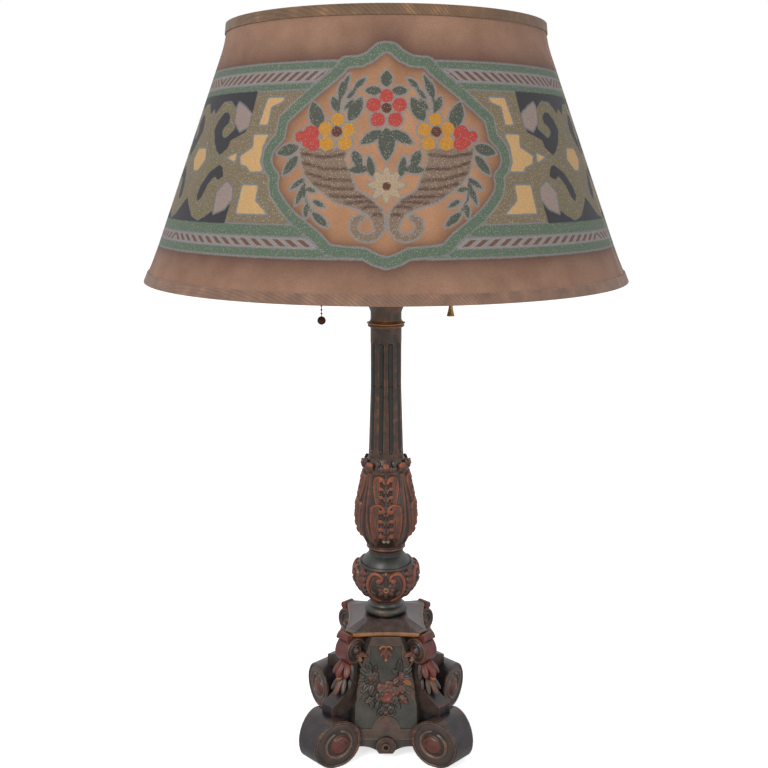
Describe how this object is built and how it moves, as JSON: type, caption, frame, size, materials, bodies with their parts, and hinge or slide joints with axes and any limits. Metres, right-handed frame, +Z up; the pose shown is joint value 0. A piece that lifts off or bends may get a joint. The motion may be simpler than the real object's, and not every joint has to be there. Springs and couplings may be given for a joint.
{
  "type": "candlestick table lamp",
  "caption": "Candlestick table lamp on a four-sided scroll-footed pedestal, with pull-chain lampholders under a painted flared cloth shade.",
  "frame": {"origin": "on the table under the column's axis", "axes": "+Z up along the column, front towards -Y, lampholders lean towards -X and +X"},
  "size_m": [0.4595, 0.4596, 0.7111],
  "materials": {
    "dark_casting": "dark brown and green-black paint rubbed with sienna red",
    "red_casting": "dark paint rubbed with sienna red on the high parts",
    "gilt_casting": "orange gold paint",
    "green_casting": "dark green paint with red-brown ridges",
    "aged_brass": "aged",
    "zinced_steel": "zinc plated",
    "frame_wire": "enamelled frame wire",
    "black_moulding": "moulded insulating body",
    "liner_card": "vulcanised card",
    "clear_glass": "clear",
    "nickel_cap": "bulb cap",
    "painted_cloth": "stiffened cloth painted with a traditional pattern",
    "trim_tape": "woven tape",
    "dark_bead": "dark brown enamel"
  },
  "bodies": {
    "lamp_stem": {"pedestal_core": "dark_casting", "column_foot": "dark_casting", "lower_knop": "dark_casting", "capital": "dark_casting", "scroll_leg_front_left": "red_casting", "scroll_leg_front_right": "red_casting", "scroll_leg_back_left": "red_casting", "scroll_leg_back_right": "red_casting", "vase": "red_casting", "leaf_collar": "red_casting", "cornice": "gilt_casting", "astragal": "gilt_casting", "bell_collar": "green_casting", "fluted_shaft": "green_casting", "check_plate": "aged_brass", "neck_sleeve": "aged_brass", "cluster_body": "aged_brass", "riser_rod": "aged_brass", "shade_rest": "aged_brass", "arm_nipples": "aged_brass", "screw_shells": "aged_brass", "centre_contacts": "aged_brass", "socket_cap_left": "aged_brass", "socket_cap_right": "aged_brass", "socket_shell_left": "aged_brass", "socket_shell_right": "aged_brass", "chain_guide_left": "aged_brass", "chain_guide_right": "aged_brass", "lamp_pipe": "zinced_steel", "bottom_washer": "zinced_steel", "bottom_nut": "zinced_steel", "cord_bushing": "black_moulding", "switch_body_left": "black_moulding", "switch_body_right": "black_moulding", "socket_liners": "liner_card"},
    "bulb_left": {"bulb_cap_left": "nickel_cap", "bulb_glass_left": "clear_glass", "bulb_mount_left": "clear_glass"},
    "pull_left_lead": {"pull_lead_left": "aged_brass"},
    "pull_left_link": {"pull_link_left": "aged_brass"},
    "pull_left_chain": {"pull_chain_left": "aged_brass", "pull_ball": "dark_bead"},
    "bulb_right": {"bulb_cap_right": "nickel_cap", "bulb_glass_right": "clear_glass", "bulb_mount_right": "clear_glass"},
    "pull_right_lead": {"pull_lead_right": "aged_brass"},
    "pull_right_link": {"pull_link_right": "aged_brass"},
    "pull_right_chain": {"pull_chain_right": "aged_brass", "pull_bell": "aged_brass"},
    "shade": {"shade_cover_front": "painted_cloth", "shade_cover_back": "painted_cloth", "top_ring": "frame_wire", "bottom_ring": "frame_wire", "shade_ribs": "frame_wire", "top_trim": "trim_tape", "bottom_trim": "trim_tape", "spider_hub": "aged_brass", "spider_arms": "frame_wire"},
    "finial": {"finial": "aged_brass"}
  },
  "joints": [
    {"name": "bulb_left_screw", "type": "hinge", "parent": "lamp_stem", "child": "bulb_left", "pos_m": [0, 0, 0.508], "axis": [-0.7071, 0, 0.7071], "continuous": true},
    {"name": "pull_left_slide", "type": "slide", "parent": "lamp_stem", "child": "pull_left_lead", "axis": [0, 0, -1], "range_m": [0, 0.008], "stiffness_N_per_m": 300, "springref_m": -0.004},
    {"name": "pull_left_swing_side", "type": "hinge", "parent": "pull_left_lead", "child": "pull_left_link", "pos_m": [-0.0632, 0, 0.526], "axis": [0, 1, 0], "range_deg": [-25, 25]},
    {"name": "pull_left_swing_fore", "type": "hinge", "parent": "pull_left_link", "child": "pull_left_chain", "pos_m": [-0.0632, 0, 0.526], "axis": [1, 0, 0], "range_deg": [-25, 25]},
    {"name": "bulb_right_screw", "type": "hinge", "parent": "lamp_stem", "child": "bulb_right", "pos_m": [0, 0, 0.508], "axis": [0.7071, 0, 0.7071], "continuous": true},
    {"name": "pull_right_slide", "type": "slide", "parent": "lamp_stem", "child": "pull_right_lead", "axis": [0, 0, -1], "range_m": [0, 0.008], "stiffness_N_per_m": 300, "springref_m": -0.004},
    {"name": "pull_right_swing_side", "type": "hinge", "parent": "pull_right_lead", "child": "pull_right_link", "pos_m": [0.0632, 0, 0.526], "axis": [0, 1, 0], "range_deg": [-25, 25]},
    {"name": "pull_right_swing_fore", "type": "hinge", "parent": "pull_right_link", "child": "pull_right_chain", "pos_m": [0.0632, 0, 0.526], "axis": [1, 0, 0], "range_deg": [-25, 25]},
    {"name": "shade_turn", "type": "hinge", "parent": "lamp_stem", "child": "shade", "pos_m": [0, 0, 0.688], "axis": [0, 0, 1], "continuous": true},
    {"name": "finial_turn", "type": "hinge", "parent": "lamp_stem", "child": "finial", "pos_m": [0, 0, 0.699], "axis": [0, 0, 1], "continuous": true}
  ]
}
